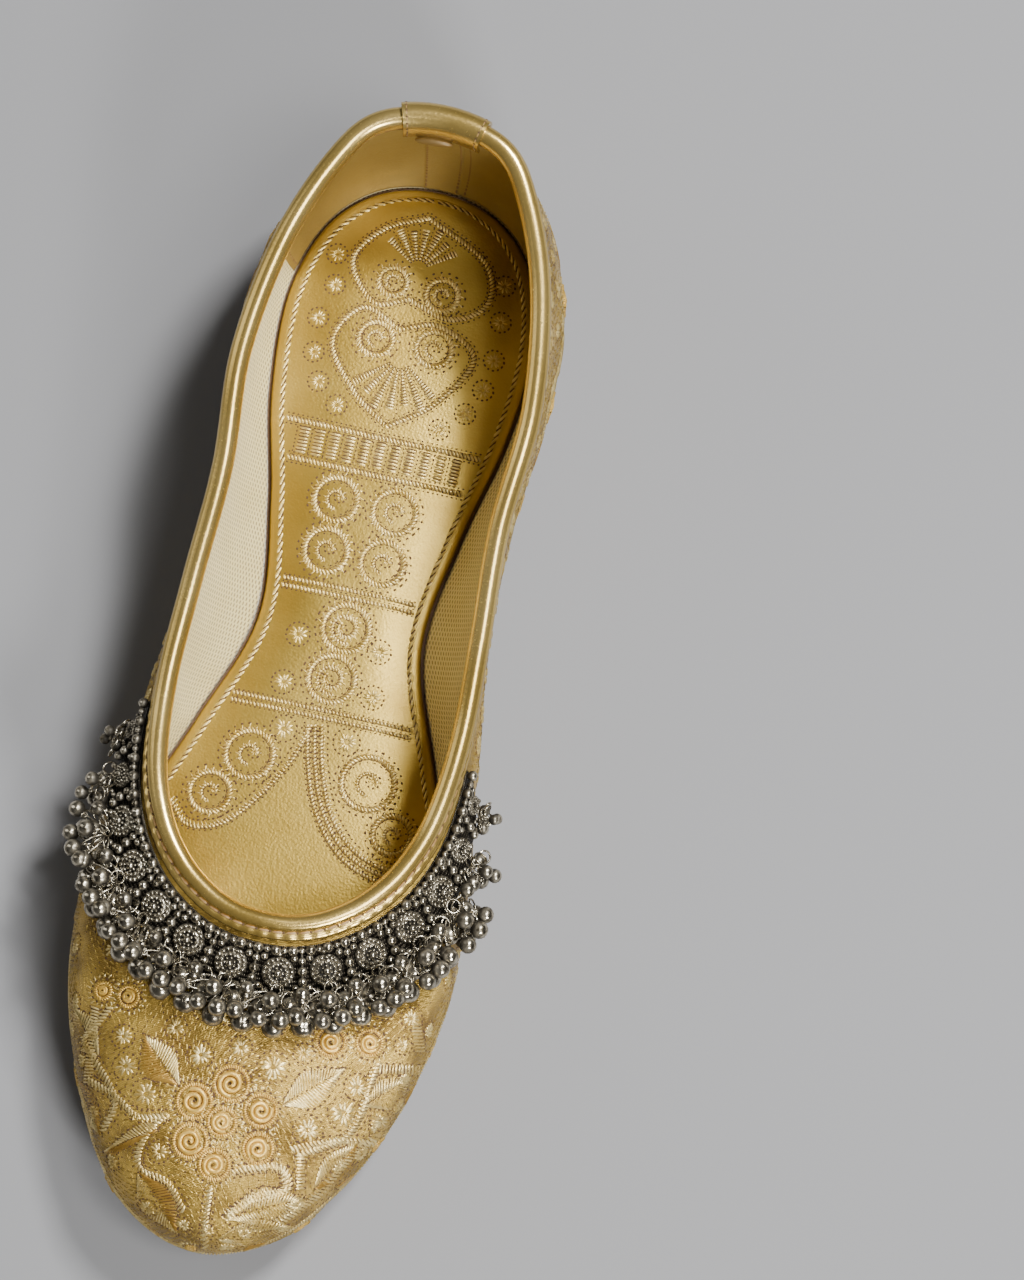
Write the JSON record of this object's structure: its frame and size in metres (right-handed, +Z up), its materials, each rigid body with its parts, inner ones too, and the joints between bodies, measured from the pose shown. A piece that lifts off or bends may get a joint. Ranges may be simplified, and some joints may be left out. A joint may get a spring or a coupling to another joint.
{
  "type": "mojari shoe",
  "caption": "Flat slip-on mojari shoe in gold brocade with a wide collar, a rolled binding, an embossed insole and a silver trim of rosettes and round bells.",
  "frame": {"origin": "middle of the heel lift's flat face, on the floor that the shoe stands on", "axes": "+Z up, +Y from the toe towards the heel, +X to the side; the shoe is alike on both sides of X = 0"},
  "size_m": [0.0915, 0.25, 0.0649],
  "materials": {
    "brocade": "gold jacquard brocade with a satin sheen",
    "gold_leather": "smooth metallic gold",
    "insole_leather": "embossed metallic gold",
    "sole_leather": "waxed edge, matte underside",
    "silver": "oxidised silver"
  },
  "bodies": {
    "root": {"heel_lift": "sole_leather", "outsole": "sole_leather", "insole": "insole_leather", "upper": "brocade", "binding": "gold_leather", "heel_tab": "gold_leather", "bead_chain": "silver", "rosette_01": "silver", "ghungroo_01": "silver", "rosette_02": "silver", "ghungroo_02": "silver", "rosette_03": "silver", "ghungroo_03": "silver", "rosette_04": "silver", "ghungroo_04": "silver", "rosette_05": "silver", "ghungroo_05": "silver", "rosette_06": "silver", "ghungroo_06": "silver", "rosette_07": "silver", "ghungroo_07": "silver", "rosette_08": "silver", "ghungroo_08": "silver", "rosette_09": "silver", "ghungroo_09": "silver", "rosette_10": "silver", "ghungroo_10": "silver", "rosette_11": "silver", "ghungroo_11": "silver", "rosette_12": "silver", "ghungroo_12": "silver", "rosette_13": "silver", "ghungroo_13": "silver", "rosette_14": "silver", "ghungroo_14": "silver"}
  },
  "joints": []
}
